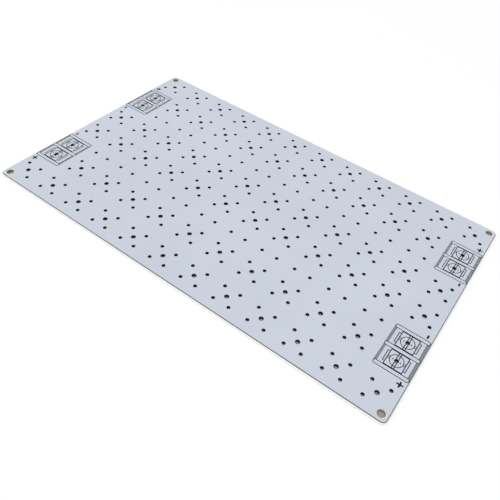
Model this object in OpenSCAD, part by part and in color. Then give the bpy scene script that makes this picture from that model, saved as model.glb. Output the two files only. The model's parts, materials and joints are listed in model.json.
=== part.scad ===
// Bare circuit board for building a loudspeaker crossover.
// A drilled glass-epoxy laminate carries a white coat of solder mask on both faces
// and, near each corner, the printed outline of a two-pole barrier terminal.
// Lengths are in millimetres. The origin is the middle of the underside, +X runs
// along the long side and +Z points out of the printed face.

/* [Board] */
// Length of the board, along X
board_length = 200; // [160:1:260]
// Width of the board, along Y
board_width = 120; // [100:1:160]
// Thickness of the finished board, with both coats of mask
board_thickness = 1.6; // [0.8:0.1:3.2]
// Radius of the four outer corners
corner_radius = 2; // [0.5:0.25:4]
// Thickness of each coat of solder mask
mask_thickness = 0.04; // [0.02:0.01:0.08]
// Thickness of the printed ink
ink_thickness = 0.02; // [0.01:0.01:0.05]

/* [Mounting holes] */
// Diameter of the four corner mounting holes
mount_hole = 3.2; // [2.2:0.1:4.2]
// Distance of each mounting hole's centre from both of its edges
mount_inset = 3; // [2.8:0.1:6]
// Width of the ring of bare laminate that the mask leaves round a mounting hole
mask_relief = 0.35; // [0.1:0.05:0.8]

/* [Component holes] */
// Distance between columns of clusters, and between the rows of a group
grid_pitch = 16.764; // [14:0.001:22]
// Wider gap between the middle rows and each outer group of rows
wide_gap = 25.654; // [20:0.001:30]
// Offset along X and Y of a cluster's wire holes from its middle
wire_offset = 3.81; // [2.5:0.01:5]
// Diameter of the large hole in the middle of a cluster
centre_hole = 2.1; // [1:0.1:3]
// Diameter of the small wire holes
wire_hole = 1.65; // [0.8:0.05:2]
// Least width of board kept between a component hole and an edge or another feature
least_web = 1; // [0.5:0.1:2]

/* [Terminals] */
// Distance between the two poles of a terminal, along Y
pole_pitch = 10; // [8:0.1:14]
// Diameter of the pin hole under each pole
pin_hole = 1.9; // [1:0.1:2.6]
// Distance of the pin holes from the board's short edge
terminal_setback = 7.8; // [7.6:0.1:14]
// Distance of each terminal's middle from the board's long centre line
terminal_offset = 29.6; // [20:0.1:36]
// Depth of a terminal's outline, along X
terminal_depth = 15; // [13:0.1:15.2]
// Thickness of the insulating walls on both sides of each pole
barrier_thickness = 2; // [1:0.1:3]

/* [Terminal print] */
// Width of the fine printed lines
fine_line = 0.3; // [0.1:0.05:0.35]
// Width of the heavier printed lines round each clamp plate
heavy_line = 0.35; // [0.15:0.05:0.5]
// Length of a clamp plate, along X
plate_length = 7.85; // [6.5:0.05:8]
// Diameter of the clamp screw's head
screw_head = 5.85; // [4.5:0.05:6]
// Width of the screw's slot, to the middles of its two lines
screw_slot = 0.94; // [0.6:0.02:1.4]
// Distance of the screw's two index dots from its centre
dot_offset = 1.6; // [1.2:0.05:2]
// Diameter of the index dots
dot_size = 0.55; // [0.2:0.05:0.6]
// Distance that a clamp plate's side tab stands out from the plate
tab_depth = 0.75; // [0.5:0.05:1.2]
// Length of a side tab, along Y
tab_length = 5.2; // [3:0.1:6]
// Width of the ribbed strip that closes each end of a pole's bay
strip_width = 1.05; // [0.6:0.05:1.2]
// Number of lines in a ribbed strip
strip_lines = 3; // [2:1:4]
// Width of the lines in a ribbed strip
rib_line = 0.23; // [0.1:0.01:0.3]
// Distance that the barrier ends stand out past the ribbed strips
barrier_overhang = 0.1; // [0:0.05:0.5]

/* [Hidden] */
$fn = 48;

laminate_thickness = board_thickness - 2 * mask_thickness;
mount_x = board_length / 2 - mount_inset;
mount_y = board_width / 2 - mount_inset;
mask_opening = mount_hole + 2 * mask_relief;

terminal_x = board_length / 2 - terminal_setback;
terminal_length = 2 * pole_pitch + barrier_thickness;
bay_length = pole_pitch - barrier_thickness;
strip_edge = terminal_depth / 2 - barrier_overhang;
rib_pitch = (strip_width - rib_line) / (strip_lines - 1);

// A cluster and the web round it reach this far from its middle along X and Y
cluster_reach = wire_offset + wire_hole / 2 + least_web;

// Columns lie half a pitch to each side of the middle, as many as the board has room for
half_columns = floor((board_length / 2 - cluster_reach) / grid_pitch + 0.5);
columns = [for (i = [1:half_columns]) (i - 0.5) * grid_pitch];

// Two middle rows, a wide gap and two outer rows on each side, as far as there is room
inner_row = grid_pitch / 2;
middle_row = inner_row + wide_gap;
outer_row = middle_row + grid_pitch;
pair_row = inner_row + wide_gap / 2;
rows = [for (y = [inner_row, middle_row, outer_row]) if (y + cluster_reach <= board_width / 2) y];

// The four mirror images of a point in the +X +Y quarter
function quarters(p) = [for (sx = [-1, 1], sy = [-1, 1]) [sx * p.x, sy * p.y]];

// Whether a hole at p leaves the least web round the mounting holes
function off_mount(p, diameter) =
    norm([abs(p.x) - mount_x, abs(p.y) - mount_y]) >= (mount_hole + diameter) / 2 + least_web;

// Whether a cluster or pair at p stays outside the terminals' outlines
function off_terminal(p) =
    abs(abs(p.x) - terminal_x) >= terminal_depth / 2 + cluster_reach
    || abs(abs(p.y) - terminal_offset) >= terminal_length / 2 + cluster_reach;

clusters = [for (x = columns, y = rows, p = quarters([x, y])) if (off_terminal(p)) p];
pairs = [for (x = columns, p = quarters([x, pair_row])) if (off_terminal(p)) p];
cluster_wires = [for (c = clusters, d = quarters([wire_offset, wire_offset])) c + d];
pair_wires = [for (c = pairs, side = [-1, 1]) c + [side * wire_offset, 0]];

centre_points = [for (p = clusters) if (off_mount(p, centre_hole)) p];
wire_points = [for (p = concat(cluster_wires, pair_wires)) if (off_mount(p, wire_hole)) p];
mount_points = quarters([mount_x, mount_y]);
terminal_centres = quarters([terminal_x, terminal_offset]);
pin_points = [for (c = terminal_centres, side = [-1, 1]) c + [0, side * pole_pitch / 2]];

// Disc of the same diameter at each point
module discs(points, diameter) {
    for (p = points) translate(p) circle(d = diameter);
}

// Rectangle with round corners, centred on the origin
module rounded_rectangle(length, width, radius) {
    square([length - 2 * radius, width], center = true);
    square([length, width - 2 * radius], center = true);
    discs(quarters([length / 2 - radius, width / 2 - radius]), 2 * radius);
}

// Face of the board with every hole, whose corner holes are mount_diameter wide
module drilled_face(mount_diameter) {
    difference() {
        rounded_rectangle(board_length, board_width, corner_radius);
        discs(centre_points, centre_hole);
        discs(wire_points, wire_hole);
        discs(pin_points, pin_hole);
        discs(mount_points, mount_diameter);
    }
}

// Glass-epoxy core, seen at the board's edges and in the walls of its holes
module laminate() {
    color("darkkhaki")
        translate([0, 0, mask_thickness])
            linear_extrude(laminate_thickness) drilled_face(mount_hole);
}

// White coat on one face, which leaves a bare ring round each mounting hole
module mask_coat() {
    linear_extrude(mask_thickness) drilled_face(mask_opening);
}

module top_mask() {
    color("ghostwhite")
        translate([0, 0, board_thickness - mask_thickness]) mask_coat();
}

module bottom_mask() {
    color("ghostwhite") mask_coat();
}

// The same mark on both sides of the origin, distance away along X or Y
module both_x(distance) {
    for (side = [-1, 1]) translate([side * distance, 0]) children();
}

module both_y(distance) {
    for (side = [-1, 1]) translate([0, side * distance]) children();
}

// Straight printed line or bar, centred on the origin
module bar(length_x, length_y) {
    square([length_x, length_y], center = true);
}

// Long bar with round ends
module capsule(length, width) {
    bar(length - width, width);
    both_x((length - width) / 2) circle(d = width);
}

// Insulating wall between poles, seen from above
module barrier_outline() {
    difference() {
        capsule(terminal_depth, barrier_thickness);
        capsule(terminal_depth - 2 * fine_line, barrier_thickness - 2 * fine_line);
    }
}

// Ribs that close the two ends of a pole's bay and run up to the barriers
module ribbed_strips() {
    difference() {
        both_x(strip_edge - strip_width / 2)
            for (i = [0:strip_lines - 1])
                translate([i * rib_pitch - (strip_width - rib_line) / 2, 0])
                    bar(rib_line, pole_pitch);
        both_y(pole_pitch / 2) capsule(terminal_depth, barrier_thickness);
    }
}

// Square clamp plate that fills the bay between two barriers, with its side tabs
module clamp_plate() {
    difference() {
        bar(plate_length, bay_length);
        bar(plate_length - 2 * heavy_line, bay_length - 2 * heavy_line);
    }
    both_x(plate_length / 2 + tab_depth) bar(fine_line, tab_length + fine_line);
    both_x((plate_length + tab_depth) / 2)
        both_y(tab_length / 2) bar(tab_depth, fine_line);
}

// Head of the clamp screw: its rim, its slot and two index dots
module clamp_screw() {
    difference() {
        circle(d = screw_head);
        circle(d = screw_head - 2 * fine_line);
    }
    both_x(screw_slot / 2) bar(heavy_line, bay_length);
    both_x((plate_length + screw_head) / 4 - fine_line / 2)
        both_y(screw_slot / 2) bar((plate_length - screw_head) / 2 + fine_line, fine_line);
    both_x(dot_offset) circle(d = dot_size);
}

// Printed outline of a two-pole barrier terminal, open at its pin holes
module terminal_outline() {
    for (y = [-pole_pitch, 0, pole_pitch]) translate([0, y]) barrier_outline();
    difference() {
        both_y(pole_pitch / 2) {
            ribbed_strips();
            clamp_plate();
            clamp_screw();
        }
        both_y(pole_pitch / 2) circle(d = pin_hole);
    }
}

// Ink of one terminal outline; side is -1 or 1 along X and along Y
module terminal_print(side_x, side_y) {
    color("black")
        translate([side_x * terminal_x, side_y * terminal_offset, board_thickness])
            linear_extrude(ink_thickness) terminal_outline();
}

module terminal_print_left_front() {
    terminal_print(-1, -1);
}

module terminal_print_left_rear() {
    terminal_print(-1, 1);
}

module terminal_print_right_front() {
    terminal_print(1, -1);
}

module terminal_print_right_rear() {
    terminal_print(1, 1);
}

laminate();
top_mask();
bottom_mask();
terminal_print_left_front();
terminal_print_left_rear();
terminal_print_right_front();
terminal_print_right_rear();
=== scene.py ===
"""Looks of a bare circuit board for a loudspeaker crossover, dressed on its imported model.

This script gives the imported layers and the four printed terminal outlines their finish,
takes the sharpness off the board's upper rim, adds the printed polarity marks beside the
terminals, and sets up the floor, the light and the camera.

Lengths in the dataclass fields are in millimetres and angles are in degrees. Meshes and
Blender's own scene are in metres. In the finishes, a span is the part of a pattern's range
that is spread over the whole result, and roughness gives the two ends of that result.
"""

import json
import logging
import math
from dataclasses import dataclass
from enum import Enum
from typing import Iterator

import bmesh
import bpy
from mathutils import Matrix, Vector


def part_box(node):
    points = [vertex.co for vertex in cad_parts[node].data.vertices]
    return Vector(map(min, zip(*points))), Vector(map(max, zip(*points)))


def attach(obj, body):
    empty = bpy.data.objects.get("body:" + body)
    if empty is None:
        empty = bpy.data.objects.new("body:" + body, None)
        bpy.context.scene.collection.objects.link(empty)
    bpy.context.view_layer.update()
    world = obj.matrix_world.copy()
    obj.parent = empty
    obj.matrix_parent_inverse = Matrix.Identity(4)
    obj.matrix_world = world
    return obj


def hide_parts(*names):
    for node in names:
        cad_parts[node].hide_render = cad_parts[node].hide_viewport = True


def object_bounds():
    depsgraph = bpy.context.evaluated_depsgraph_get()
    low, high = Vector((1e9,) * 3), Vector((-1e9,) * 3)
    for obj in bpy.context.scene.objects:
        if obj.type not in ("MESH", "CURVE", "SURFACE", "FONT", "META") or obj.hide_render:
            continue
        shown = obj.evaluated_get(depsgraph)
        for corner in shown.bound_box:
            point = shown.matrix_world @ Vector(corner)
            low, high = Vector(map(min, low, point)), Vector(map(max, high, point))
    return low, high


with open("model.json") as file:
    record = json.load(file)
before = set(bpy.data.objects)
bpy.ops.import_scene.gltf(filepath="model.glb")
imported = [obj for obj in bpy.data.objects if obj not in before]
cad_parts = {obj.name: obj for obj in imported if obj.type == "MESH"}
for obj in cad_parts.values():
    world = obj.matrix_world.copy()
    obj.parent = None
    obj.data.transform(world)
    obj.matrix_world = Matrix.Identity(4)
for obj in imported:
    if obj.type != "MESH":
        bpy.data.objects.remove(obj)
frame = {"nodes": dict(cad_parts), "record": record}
cad_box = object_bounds()

LOG = logging.getLogger("crossover_board")
MM = 0.001

# Length of one wave of Blender's band texture at a scale of 1
BAND_LENGTH = math.pi / 10.0
# How far glass threads stray from straight lines, and the octaves of that
THREAD_WANDER = 0.4
THREAD_DETAIL = 1.0

Triple = tuple[float, float, float]
Colour = Triple
Span = tuple[float, float]
Socket = bpy.types.NodeSocket
Scalar = Socket | float
Shade = Socket | Colour


class Polarity(Enum):
    """Which pole of a terminal a printed mark names."""

    PLUS = "plus"
    MINUS = "minus"


class Corner(Enum):
    """The four terminals, each with the sides of the board that it is printed at."""

    LEFT_FRONT = ("left_front", -1, -1)
    LEFT_REAR = ("left_rear", -1, 1)
    RIGHT_FRONT = ("right_front", 1, -1)
    RIGHT_REAR = ("right_rear", 1, 1)

    def __init__(self, label: str, side_x: int, side_y: int) -> None:
        """Keeps the corner's name and its sides along X and Y."""
        self.label = label
        self.side_x = side_x
        self.side_y = side_y


def opaque(colour: Colour) -> tuple[float, float, float, float]:
    """Returns a linear colour with full alpha."""
    return (*colour, 1.0)


def seen_directly(tree: bpy.types.NodeTree) -> Socket:
    """Adds the test for what the camera sees, itself or in reflections or through glass.

    Args:
        tree: Node tree that the test is added to.

    Returns:
        1 for such rays, and 0 for rays that light other surfaces.
    """
    rays = tree.nodes.new("ShaderNodeLightPath").outputs
    seen = rays["Is Camera Ray"]
    for kind in ("Is Glossy Ray", "Is Transmission Ray"):
        either = tree.nodes.new("ShaderNodeMath")
        either.operation = "MAXIMUM"
        tree.links.new(seen, either.inputs[0])
        tree.links.new(rays[kind], either.inputs[1])
        seen = either.outputs["Value"]
    return seen


class MaterialGraph:
    """One material, with short calls that add and join its shader nodes."""

    def __init__(self, name: str) -> None:
        """Makes an empty material with a Principled surface.

        Args:
            name: Name of the material.
        """
        self.material = bpy.data.materials.new(name)
        self.material.use_nodes = True
        self.tree = self.material.node_tree
        self.tree.nodes.clear()
        output = self.add("ShaderNodeOutputMaterial")
        self.shader = self.add("ShaderNodeBsdfPrincipled")
        self.join(self.shader.outputs["BSDF"], output.inputs["Surface"])

    def add(self, kind: str, **settings: object) -> bpy.types.Node:
        """Adds a node.

        Args:
            kind: Blender's type name of the node.
            **settings: Attributes that are set on the node.

        Returns:
            The new node.
        """
        node = self.tree.nodes.new(kind)
        for name, value in settings.items():
            setattr(node, name, value)
        return node

    def join(self, source: Socket, target: Socket) -> None:
        """Links one socket to another."""
        self.tree.links.new(source, target)

    def feed(self, target: Socket, value: Scalar | tuple[float, ...]) -> None:
        """Links a socket to the target, or sets a plain value on it."""
        if isinstance(value, Socket):
            self.join(value, target)
        else:
            target.default_value = value

    def place(self) -> Socket:
        """Returns the point on the surface, in millimetres of the board's frame."""
        here = self.add("ShaderNodeTexCoord").outputs["Object"]
        scaled = self.add("ShaderNodeVectorMath", operation="SCALE")
        self.join(here, scaled.inputs[0])
        scaled.inputs["Scale"].default_value = 1.0 / MM
        return scaled.outputs["Vector"]

    def facing(self) -> Socket:
        """Returns the surface's direction in the board's own frame."""
        return self.add("ShaderNodeTexCoord").outputs["Normal"]

    def split(self, vector: Socket) -> bpy.types.NodeOutputs:
        """Returns the X, Y and Z outputs of a vector."""
        node = self.add("ShaderNodeSeparateXYZ")
        self.join(vector, node.inputs[0])
        return node.outputs

    def multiplied(self, vector: Socket, factors: Socket | Triple) -> Socket:
        """Returns a vector or colour with each of its parts multiplied by a factor."""
        node = self.add("ShaderNodeVectorMath", operation="MULTIPLY")
        self.join(vector, node.inputs[0])
        self.feed(node.inputs[1], factors)
        return node.outputs["Vector"]

    def noise(self, vector: Socket, size: float, detail: float) -> Socket:
        """Adds soft random patches.

        Args:
            vector: Point that the pattern is read at, in millimetres.
            size: Typical size of a patch, in millimetres.
            detail: Number of finer octaves.

        Returns:
            The pattern's value, around 0.5.
        """
        node = self.add("ShaderNodeTexNoise")
        self.join(vector, node.inputs["Vector"])
        node.inputs["Scale"].default_value = 1.0 / size
        node.inputs["Detail"].default_value = detail
        return node.outputs["Fac"]

    def threads(self, vector: Socket, pitch: float, axis: str) -> Socket:
        """Adds the parallel ridges of glass threads.

        Args:
            vector: Point that the pattern is read at, in millimetres.
            pitch: Distance between threads, in millimetres.
            axis: Axis that the threads follow each other along, X, Y or Z.

        Returns:
            The ridges' height, from 0 to 1.
        """
        node = self.add("ShaderNodeTexWave", wave_type="BANDS", bands_direction=axis)
        self.join(vector, node.inputs["Vector"])
        node.inputs["Scale"].default_value = BAND_LENGTH / pitch
        node.inputs["Distortion"].default_value = THREAD_WANDER
        node.inputs["Detail"].default_value = THREAD_DETAIL
        return node.outputs["Fac"]

    def remap(self, value: Socket, source: Span, target: Span = (0.0, 1.0)) -> Socket:
        """Maps one range of values on another and clamps the result.

        Args:
            value: Value that is mapped.
            source: Its range.
            target: Range of the result.

        Returns:
            The mapped value.
        """
        node = self.add("ShaderNodeMapRange")
        self.join(value, node.inputs["Value"])
        limits = ("From Min", "From Max", "To Min", "To Max")
        for name, limit in zip(limits, (*source, *target)):
            node.inputs[name].default_value = limit
        return node.outputs["Result"]

    def maths(self, operation: str, first: Scalar, second: Scalar = 0.0) -> Socket:
        """Works out one number from two.

        Args:
            operation: Blender's name of the operation.
            first: First number, or socket that gives it.
            second: Second number, or socket that gives it.

        Returns:
            The result.
        """
        node = self.add("ShaderNodeMath", operation=operation)
        self.feed(node.inputs[0], first)
        self.feed(node.inputs[1], second)
        return node.outputs["Value"]

    def blend(self, share: Socket, first: Shade, second: Shade) -> Socket:
        """Mixes two colours.

        Args:
            share: Share of the second colour, from 0 to 1.
            first: Colour, or socket that gives one, where the share is 0.
            second: Colour, or socket that gives one, where the share is 1.

        Returns:
            The mixed colour.
        """
        node = self.add("ShaderNodeMix", data_type="RGBA")
        colours = [s for s in node.inputs if s.type == "RGBA"]
        self.join(share, node.inputs["Factor"])
        for target, colour in zip(colours, (first, second)):
            self.feed(target, opaque(colour) if isinstance(colour, tuple) else colour)
        return next(s for s in node.outputs if s.type == "RGBA")

    def bump(self, height: Socket, depth: float) -> None:
        """Raises the surface by a pattern.

        Args:
            height: Pattern from 0 to 1.
            depth: Height of the pattern, in millimetres.
        """
        node = self.add("ShaderNodeBump")
        node.inputs["Distance"].default_value = depth * MM
        self.join(height, node.inputs["Height"])
        self.join(node.outputs["Normal"], self.shader.inputs["Normal"])


@dataclass(frozen=True)
class MaskFinish:
    """White solder mask: a thin even coat with a soft sheen over the woven laminate."""

    name: str = "white_solder_mask"
    colour: Colour = (0.600, 0.648, 0.728)
    shaded_colour: Colour = (0.565, 0.612, 0.694)
    tone_span: Span = (0.35, 0.65)
    patch_size: float = 45.0
    patch_detail: float = 2.0
    fleck_size: float = 0.9
    fleck_detail: float = 3.0
    fleck_share: float = 0.25
    fleck_span: Span = (0.3, 0.7)
    roughness: Span = (0.34, 0.46)
    thread_pitch: float = 0.275
    thread_share: float = 0.25
    peel_size: float = 1.6
    peel_detail: float = 2.0
    relief: float = 0.0012
    sheen: float = 0.3

    def build(self) -> bpy.types.Material:
        """Returns the material of both coats of mask."""
        graph = MaterialGraph(self.name)
        here = graph.place()
        patches = graph.noise(here, self.patch_size, self.patch_detail)
        flecks = graph.noise(here, self.fleck_size, self.fleck_detail)
        tone = graph.maths("ADD", graph.maths("MULTIPLY", flecks, self.fleck_share),
                           graph.maths("MULTIPLY", patches, 1.0 - self.fleck_share))
        graph.join(graph.blend(graph.remap(tone, self.tone_span), self.shaded_colour, self.colour),
                   graph.shader.inputs["Base Color"])
        graph.join(graph.remap(flecks, self.fleck_span, self.roughness),
                   graph.shader.inputs["Roughness"])
        graph.shader.inputs["Specular IOR Level"].default_value = self.sheen
        weave = graph.maths("ADD", graph.threads(here, self.thread_pitch, "X"),
                            graph.threads(here, self.thread_pitch, "Y"))
        height = graph.maths("ADD", graph.maths("MULTIPLY", weave, self.thread_share),
                             graph.noise(here, self.peel_size, self.peel_detail))
        graph.bump(height, self.relief)
        return graph.material


@dataclass(frozen=True)
class LaminateFinish:
    """Glass-epoxy core: cream where it is bare on top, layered where it was routed.

    The walls of the small drilled holes carry painted shade that makes them near black, and those
    of the wide corner holes show the resin, which is more olive to the left and browner to the
    right. The board's outer wall is frosted, with painted shade as a dark rim at the top.
    """

    name: str = "glass_epoxy_laminate"
    bare_face: Colour = (0.670, 0.668, 0.600)
    resin: Colour = (0.255, 0.227, 0.155)
    glass: Colour = (0.440, 0.402, 0.300)
    olive_cast: Colour = (0.86, 1.02, 0.96)
    brown_cast: Colour = (1.02, 0.98, 1.02)
    # Painted shade: near-black colour of the small holes' walls, where little light gets in
    painted_hole_shade: Colour = (0.014, 0.014, 0.016)
    frosted: Colour = (0.900, 0.898, 0.880)
    # Painted shade: dark colour at the top of the board's outer wall
    painted_rim_shade: Colour = (0.060, 0.060, 0.062)
    # Heights on the outer wall between which it turns to the painted rim shade
    painted_rim_shade_rise: Span = (1.27, 1.36)
    ply: float = 0.095
    ply_share: float = 0.12
    fibre_size: float = 0.12
    fibre_detail: float = 3.0
    fibre_stretch: Triple = (1.0, 1.0, 0.35)
    fibre_span: Span = (0.3, 0.7)
    layer_span: Span = (0.25, 0.75)
    level_span: Span = (0.5, 0.8)
    # How far out from its middle a corner hole's surroundings go
    corner_reach: float = 2.3
    # How far in the outer wall counts from the sides, and from the tips of the corners
    edge_depth: float = 0.4
    round_depth: float = 2.0
    roughness: Span = (0.62, 0.82)
    relief: float = 0.012

    def build(self, mount: Vector, half_size: Vector) -> bpy.types.Material:
        """Builds the material of the laminate.

        Args:
            mount: Place of the corner hole in the quarter of positive X and Y, in
                millimetres from the board's middle.
            half_size: Half the board's length and width, in millimetres.

        Returns:
            The material.
        """
        graph = MaterialGraph(self.name)
        here = graph.place()
        axes = graph.split(here)
        fibres = graph.noise(graph.multiplied(here, self.fibre_stretch), self.fibre_size,
                             self.fibre_detail)
        layered = graph.maths("MULTIPLY", 0.5,
                              graph.maths("ADD", graph.threads(here, self.ply, "Z"), fibres))
        along = graph.remap(axes["X"], (-half_size.x, half_size.x))
        routed = graph.multiplied(
            graph.blend(graph.remap(layered, self.layer_span), self.resin, self.glass),
            graph.blend(along, self.olive_cast, self.brown_cast))
        # Outer wall: frosted, with painted shade as a dark rim at the top and the real resin plies
        # mixed in
        sawn_wall_and_rim_shade = graph.blend(graph.remap(axes["Z"], self.painted_rim_shade_rise), self.frosted, self.painted_rim_shade)
        sawn_wall_and_rim_shade = graph.blend(graph.maths("MULTIPLY", layered, self.ply_share), sawn_wall_and_rim_shade, self.resin)
        at_corner, at_edge = self._open_walls(graph, here, mount, half_size)
        # Walls away from the corner holes and the outer edges get the painted hole shade
        wall = graph.blend(at_edge, graph.blend(at_corner, self.painted_hole_shade, routed), sawn_wall_and_rim_shade)
        upward = graph.maths("ABSOLUTE", graph.split(graph.facing())["Z"])
        ring = graph.maths("MULTIPLY", graph.remap(upward, self.level_span), at_corner)
        graph.join(graph.blend(ring, wall, self.bare_face), graph.shader.inputs["Base Color"])
        graph.join(graph.remap(fibres, self.fibre_span, self.roughness),
                   graph.shader.inputs["Roughness"])
        graph.bump(layered, self.relief)
        return graph.material

    def _open_walls(self, graph: MaterialGraph, here: Socket, mount: Vector,
                    half_size: Vector) -> tuple[Socket, Socket]:
        """Finds the walls that daylight reaches: the corner holes and the outer edges.

        Args:
            graph: Graph that the nodes are added to.
            here: Point on the surface, in millimetres.
            mount: Place of one corner hole, in millimetres.
            half_size: Half the board's length and width, in millimetres.

        Returns:
            1 near the corner holes, and 1 at the outer edges. Both are 0 elsewhere.
        """
        folded = graph.add("ShaderNodeVectorMath", operation="ABSOLUTE")
        graph.join(here, folded.inputs[0])
        quarter = graph.multiplied(folded.outputs["Vector"], (1.0, 1.0, 0.0))
        away = graph.add("ShaderNodeVectorMath", operation="DISTANCE")
        graph.join(quarter, away.inputs[0])
        away.inputs[1].default_value = (mount.x, mount.y, 0.0)
        at_corner = graph.maths("LESS_THAN", away.outputs["Value"], self.corner_reach)
        axes = graph.split(quarter)
        at_side = graph.maths("GREATER_THAN", axes["X"], half_size.x - self.edge_depth)
        at_end = graph.maths("GREATER_THAN", axes["Y"], half_size.y - self.edge_depth)
        at_round = graph.maths("GREATER_THAN", graph.maths("ADD", axes["X"], axes["Y"]),
                               half_size.x + half_size.y - self.round_depth)
        at_edge = graph.maths("MAXIMUM", graph.maths("MAXIMUM", at_side, at_end), at_round)
        return at_corner, at_edge


@dataclass(frozen=True)
class InkFinish:
    """Black screen-printed ink, slightly uneven and less glossy than the mask."""

    name: str = "black_marking_ink"
    dense: Colour = (0.002, 0.002, 0.003)
    thin: Colour = (0.008, 0.008, 0.011)
    grain_size: float = 0.18
    grain_detail: float = 3.0
    thinning_span: Span = (0.35, 0.7)
    grain_span: Span = (0.3, 0.7)
    roughness: Span = (0.55, 0.75)
    sheen: float = 0.06
    relief: float = 0.004

    def build(self) -> bpy.types.Material:
        """Returns the material of every printed line and sign."""
        graph = MaterialGraph(self.name)
        grain = graph.noise(graph.place(), self.grain_size, self.grain_detail)
        graph.join(graph.blend(graph.remap(grain, self.thinning_span), self.dense, self.thin),
                   graph.shader.inputs["Base Color"])
        graph.join(graph.remap(grain, self.grain_span, self.roughness),
                   graph.shader.inputs["Roughness"])
        graph.shader.inputs["Specular IOR Level"].default_value = self.sheen
        graph.bump(grain, self.relief)
        return graph.material


@dataclass
class BoardLayers:
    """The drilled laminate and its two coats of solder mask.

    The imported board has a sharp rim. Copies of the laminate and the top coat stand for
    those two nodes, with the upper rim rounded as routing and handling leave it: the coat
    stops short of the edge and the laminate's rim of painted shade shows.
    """

    mask: MaskFinish = MaskFinish()
    core: LaminateFinish = LaminateFinish()
    core_node: str = "laminate"
    top_node: str = "top_mask"
    bottom_node: str = "bottom_mask"
    screw_mount: str = "corner_screws"
    corner_radius: float = 2.0
    rim_radius: float = 0.28
    rim_steps: int = 3
    merge_distance: float = 0.0005

    def mount_place(self) -> Vector:
        """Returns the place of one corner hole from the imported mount, in millimetres."""
        mounts = frame["record"]["mounts"]
        dims = next(m for m in mounts if m["name"] == self.screw_mount)["dims"]
        return Vector((dims["spacing_x_mm"], dims["spacing_y_mm"], 0.0)) / 2.0

    def dress(self) -> None:
        """Rounds the upper rim and gives the laminate and the mask their materials."""
        low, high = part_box(self.core_node)
        core = self.core.build(self.mount_place(), (high - low) / 2.0 / MM)
        mask = self.mask.build()
        self._rounded(self.core_node, "drilled_laminate", core)
        self._rounded(self.top_node, "top_solder_mask", mask)
        assign(frame["nodes"][self.bottom_node], mask)
        LOG.info("board layer: %s", self.bottom_node)

    def _rounded(self, node: str, name: str, material: bpy.types.Material) -> None:
        """Makes the copy of a packed layer that stands for it, with a rounded upper rim.

        Args:
            node: Packed layer.
            name: Name of the new piece.
            material: Finish of the piece.
        """
        mesh = bmesh.new()
        mesh.from_mesh(frame["nodes"][node].data)
        bmesh.ops.remove_doubles(mesh, verts=mesh.verts[:], dist=self.merge_distance * MM)
        self._round_rim(mesh)
        piece = finished(mesh, name)
        assign(piece, material)
        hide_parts(node)
        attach(piece, "root")
        LOG.info("board layer: %s, in place of %s", name, node)

    def _round_rim(self, mesh: bmesh.types.BMesh) -> None:
        """Cuts the outer wall into steps and draws them in to a quarter round.

        The round ends at the laminate's top, and what lies there or higher moves in by
        the whole radius.

        Args:
            mesh: Layer of the board.
        """
        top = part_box(self.core_node)[1].z
        foot = top - self.rim_radius * MM
        for step in range(self.rim_steps):
            height = foot + math.sin(math.pi / 2.0 * step / self.rim_steps) * (top - foot)
            wall = [f for f in mesh.faces if all(self._from_rim(v) is not None for v in f.verts)]
            parts = dict.fromkeys(g for f in wall for g in (f, *f.edges, *f.verts))
            bmesh.ops.bisect_plane(mesh, geom=list(parts), dist=self.merge_distance * MM,
                                   plane_co=(0.0, 0.0, height), plane_no=(0.0, 0.0, 1.0))
        for vert in mesh.verts:
            away = self._from_rim(vert)
            if away is not None and vert.co.z > foot:
                rise = min((vert.co.z - foot) / (top - foot), 1.0)
                vert.co -= away * (1.0 - math.sqrt(1.0 - rise * rise)) * (top - foot)

    def _from_rim(self, vert: bmesh.types.BMVert) -> Vector | None:
        """Returns the outward direction at a point of the outer edge, or None elsewhere."""
        radius = self.corner_radius * MM
        core = [min(max(c, -limit), limit) for c, limit in
                zip(vert.co.xy, (cad_box[1].x - radius, cad_box[1].y - radius))]
        away = vert.co.xy - Vector(core)
        if away.length < radius - self.merge_distance * MM:
            return None
        return Vector((*away.normalized(), 0.0))


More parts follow.
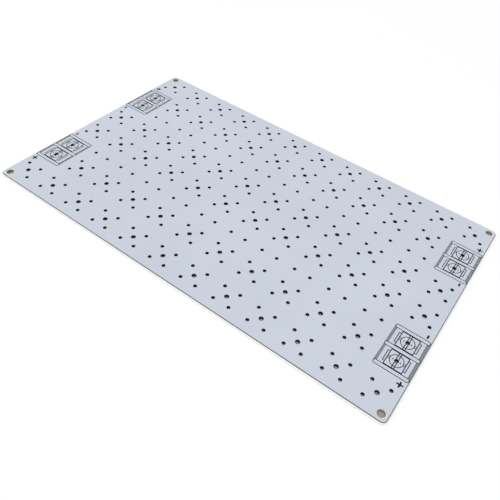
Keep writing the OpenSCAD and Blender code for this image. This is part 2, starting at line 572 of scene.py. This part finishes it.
@dataclass
class PolarityMark:
    """One printed plus or minus, a flat sign of ink lying on the mask."""

    polarity: Polarity
    corner: Corner
    plus_reach: float = 2.7
    plus_stroke: float = 0.65
    minus_length: float = 1.85
    minus_stroke: float = 0.75
    corner_round: float = 0.06
    round_segments: int = 3
    least_turn: float = 6.0

    @property
    def name(self) -> str:
        """Name of the piece."""
        return f"{self.polarity.value}_sign_{self.corner.label}"

    def outline(self) -> bmesh.types.BMesh:
        """Returns the flat sign in millimetres, centred on the origin."""
        mesh = bmesh.new()
        if self.polarity is Polarity.PLUS:
            self._add_plus(mesh)
        else:
            bmesh.ops.create_grid(mesh, x_segments=1, y_segments=1, size=0.5)
            size = (self.minus_stroke, self.minus_length, 1.0)
            bmesh.ops.scale(mesh, verts=mesh.verts[:], vec=size)
        return mesh

    def _add_plus(self, mesh: bmesh.types.BMesh) -> None:
        """Adds a three by three grid without its corner faces, as wide as the strokes."""
        bmesh.ops.create_grid(mesh, x_segments=3, y_segments=3, size=self.plus_reach / 2.0)
        inner = self.plus_reach / 6.0
        corners = [f for f in mesh.faces
                   if min(abs(c) for c in f.calc_center_median().xy) > inner]
        bmesh.ops.delete(mesh, geom=corners, context="FACES")
        for axis in (0, 1):
            near = [v for v in mesh.verts if abs(v.co[axis]) < 2.0 * inner]
            factor = [1.0, 1.0, 1.0]
            factor[axis] = self.plus_stroke / 2.0 / inner
            bmesh.ops.scale(mesh, verts=near, vec=factor)

    def build(self, centre: Vector, ink: float) -> bpy.types.Object:
        """Builds the sign.

        Args:
            centre: Place of the sign's middle on the mask, in metres.
            ink: Thickness of the ink, in metres.

        Returns:
            The sign as an object whose place is in its mesh.
        """
        mesh = self.outline()
        bmesh.ops.scale(mesh, verts=mesh.verts[:], vec=(MM, MM, MM))
        raised = bmesh.ops.extrude_face_region(mesh, geom=mesh.faces[:],
                                               use_keep_orig=True)
        lifted = [g for g in raised["geom"] if isinstance(g, bmesh.types.BMVert)]
        bmesh.ops.translate(mesh, verts=lifted, vec=(0.0, 0.0, ink))
        bmesh.ops.recalc_face_normals(mesh, faces=mesh.faces[:])
        upright = [e for e in mesh.edges if self._is_outer_upright(e)]
        bmesh.ops.bevel(mesh, geom=upright, affect="EDGES", offset=self.corner_round * MM,
                        offset_type="OFFSET", segments=self.round_segments, profile=0.5,
                        material=-1, clamp_overlap=True)
        bmesh.ops.translate(mesh, verts=mesh.verts[:], vec=centre)
        return finished(mesh, self.name)

    def _is_outer_upright(self, edge: bmesh.types.BMEdge) -> bool:
        """Whether an edge stands at a convex end of a stroke."""
        start, end = (v.co for v in edge.verts)
        upright = abs(start.z - end.z) > 0.5 * (start - end).length
        turn = math.radians(self.least_turn)
        return upright and edge.is_manifold and edge.calc_face_angle_signed() > turn


@dataclass
class TerminalMarking:
    """The printed outline of one terminal with its plus and minus signs."""

    corner: Corner
    sign_inset: float = 2.6
    plus_gap: float = 2.25
    minus_gap: float = 1.7

    @property
    def node(self) -> str:
        """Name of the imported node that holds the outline."""
        return f"terminal_print_{self.corner.label}"

    def signs(self) -> Iterator[tuple[PolarityMark, Vector]]:
        """Yields each sign with the place of its middle, in metres."""
        low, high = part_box(self.node)
        edge = cad_box[1].x
        x = self.corner.side_x * (edge - self.sign_inset * MM)
        outer, inner = (high.y, low.y) if self.corner.side_y > 0 else (low.y, high.y)
        side = self.corner.side_y
        yield (PolarityMark(Polarity.PLUS, self.corner),
               Vector((x, outer + side * self.plus_gap * MM, low.z)))
        yield (PolarityMark(Polarity.MINUS, self.corner),
               Vector((x, inner - side * self.minus_gap * MM, low.z)))

    def dress(self, ink: bpy.types.Material) -> None:
        """Inks the outline and prints the two signs beside it.

        Args:
            ink: Material of the printed lines.
        """
        assign(frame["nodes"][self.node], ink)
        low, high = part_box(self.node)
        for mark, centre in self.signs():
            sign = mark.build(centre, high.z - low.z)
            assign(sign, ink)
            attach(sign, "root")
            LOG.info("printed sign: %s", sign.name)
        LOG.info("terminal outline: %s", self.node)


@dataclass
class Studio:
    """White floor, even daylight and one large soft lamp far in front of the board.

    A duller brown-grey sheet of painted shade, with a faint painted glow that only the camera
    and reflections see, lies on the floor under the board, where only the board's holes show it.
    """

    floor_reach: float = 2500.0
    floor_drop: float = 0.1
    floor_white: float = 0.93
    floor_glow: float = 0.08
    sheet_inset: float = 0.8
    sheet_drop: float = 0.05
    # Painted shade: the sheet's duller colour; painted light: its glow
    painted_shade_colour: Colour = (0.38, 0.355, 0.310)
    painted_glow: float = 0.10
    matt: float = 0.9
    sky_level: float = 0.86
    backdrop_level: float = 1.0
    lamp_size: float = 1600.0
    lamp_place: Triple = (-900.0, -2500.0, 2400.0)
    lamp_power: float = 29.0

    def build(self) -> None:
        """Makes the floor with its sheet of painted shade, the sky and the lamp."""
        half_length, half_width = (c / MM - self.sheet_inset for c in cad_box[1].xy)
        self._flat("studio_floor", (self.floor_reach, self.floor_reach, self.floor_drop),
                   (self.floor_white,) * 3, self.floor_glow)
        # Painted shade and painted light: the sheet under the board is duller than the floor and
        # glows faintly for the camera
        self._flat("painted_shade_sheet", (half_length, half_width, self.sheet_drop),
                   self.painted_shade_colour, self.painted_glow)
        self._sky()
        self._lamp()
        bpy.context.scene.view_settings.view_transform = "Standard"
        LOG.info("studio: floor, sheet, sky and lamp")

    def _flat(self, name: str, reach: Triple, colour: Colour, glow: float) -> None:
        """Lays one matt sheet under the board.

        Args:
            name: Name of the sheet.
            reach: How far it goes from the board's middle along X, Y and downwards, in
                millimetres.
            colour: Its colour.
            glow: Strength of white that only the camera and reflections see.
        """
        mesh = bmesh.new()
        bmesh.ops.create_grid(mesh, x_segments=1, y_segments=1, size=1.0)
        size = Vector((reach[0], reach[1], 1.0)) * MM
        bmesh.ops.scale(mesh, verts=mesh.verts[:], vec=size)
        bmesh.ops.translate(mesh, verts=mesh.verts[:], vec=(0.0, 0.0, -reach[2] * MM))
        flat = finished(mesh, name)
        graph = MaterialGraph(f"matt_{name}")
        shader = graph.shader
        shader.inputs["Base Color"].default_value = opaque(colour)
        shader.inputs["Roughness"].default_value = self.matt
        shader.inputs["Specular IOR Level"].default_value = 0.0
        shader.inputs["Emission Color"].default_value = opaque((1.0, 1.0, 1.0))
        graph.join(graph.maths("MULTIPLY", seen_directly(graph.tree), glow),
                   shader.inputs["Emission Strength"])
        assign(flat, graph.material)

    def _sky(self) -> None:
        """Lights the scene evenly from all round and shows white behind the floor."""
        world = bpy.data.worlds.new("even_daylight")
        bpy.context.scene.world = world
        world.use_nodes = True
        nodes, links = world.node_tree.nodes, world.node_tree.links
        nodes.clear()
        output = nodes.new("ShaderNodeOutputWorld")
        mix = nodes.new("ShaderNodeMixShader")
        links.new(seen_directly(world.node_tree), mix.inputs["Fac"])
        for slot, level in ((1, self.sky_level), (2, self.backdrop_level)):
            background = nodes.new("ShaderNodeBackground")
            background.inputs["Color"].default_value = opaque((1.0, 1.0, 1.0))
            background.inputs["Strength"].default_value = level
            links.new(background.outputs[0], mix.inputs[slot])
        links.new(mix.outputs[0], output.inputs["Surface"])

    def _lamp(self) -> None:
        """Hangs one large square lamp that looks at the board."""
        light = bpy.data.lights.new("soft_lamp", "AREA")
        light.shape = "SQUARE"
        light.size = self.lamp_size * MM
        light.energy = self.lamp_power
        lamp = bpy.data.objects.new("soft_lamp", light)
        lamp.location = Vector(self.lamp_place) * MM
        lamp.rotation_euler = (-lamp.location).to_track_quat("-Z", "Y").to_euler()
        bpy.context.collection.objects.link(lamp)


@dataclass
class StudioCamera:
    """Camera that looks down along the board, turned a little about its own axis."""

    target: Triple = (22.32, -20.46, 1.6)
    distance: float = 230.75
    azimuth: float = 29.21
    elevation: float = 46.76
    roll: float = 8.16
    lens: float = 38.66
    sensor: float = 36.0
    shift_x: float = -0.03
    near_clip: float = 10.0

    def orientation(self) -> Matrix:
        """Returns the camera's rotation: right, up and backward as columns."""
        turn = math.radians(self.azimuth)
        tilt = math.radians(self.elevation)
        forward = Vector((-math.sin(turn) * math.cos(tilt),
                          math.cos(turn) * math.cos(tilt), -math.sin(tilt)))
        level = Vector((math.cos(turn), math.sin(turn), 0.0))
        upright = level.cross(forward)
        twist = math.radians(self.roll)
        right = math.cos(twist) * level + math.sin(twist) * upright
        up = right.cross(forward)
        return Matrix((right, up, -forward)).transposed()

    def build(self) -> None:
        """Makes the camera and hands it to the scene."""
        data = bpy.data.cameras.new("view_camera")
        data.sensor_width = self.sensor
        data.lens = self.lens
        data.shift_x = self.shift_x
        data.clip_start = self.near_clip * MM
        camera = bpy.data.objects.new("view_camera", data)
        turned = self.orientation()
        backward = turned.col[2] * self.distance
        place = (Vector(self.target) + backward) * MM
        camera.matrix_world = Matrix.Translation(place) @ turned.to_4x4()
        bpy.context.collection.objects.link(camera)
        bpy.context.scene.camera = camera
        LOG.info("camera at %s mm", [round(c / MM, 1) for c in place])


def assign(piece: bpy.types.Object, material: bpy.types.Material) -> None:
    """Gives every material slot of a piece the same material."""
    slots = piece.data.materials
    if not slots:
        slots.append(material)
    for index in range(len(slots)):
        slots[index] = material


def finished(mesh: bmesh.types.BMesh, name: str) -> bpy.types.Object:
    """Turns a bmesh into an object at the origin and frees the bmesh.

    Args:
        mesh: Mesh whose points are in metres of the board's frame.
        name: Name of the object and its mesh.

    Returns:
        The object, linked to the scene.
    """
    data = bpy.data.meshes.new(name)
    mesh.to_mesh(data)
    mesh.free()
    piece = bpy.data.objects.new(name, data)
    bpy.context.collection.objects.link(piece)
    return piece


def main() -> None:
    """Dresses the board, prints its signs, and sets up the studio and the camera."""
    logging.basicConfig(level=logging.INFO, format="%(name)s: %(message)s")
    BoardLayers().dress()
    ink = InkFinish().build()
    for corner in Corner:
        TerminalMarking(corner).dress(ink)
    Studio().build()
    StudioCamera().build()


if __name__ == "__main__":
    main()
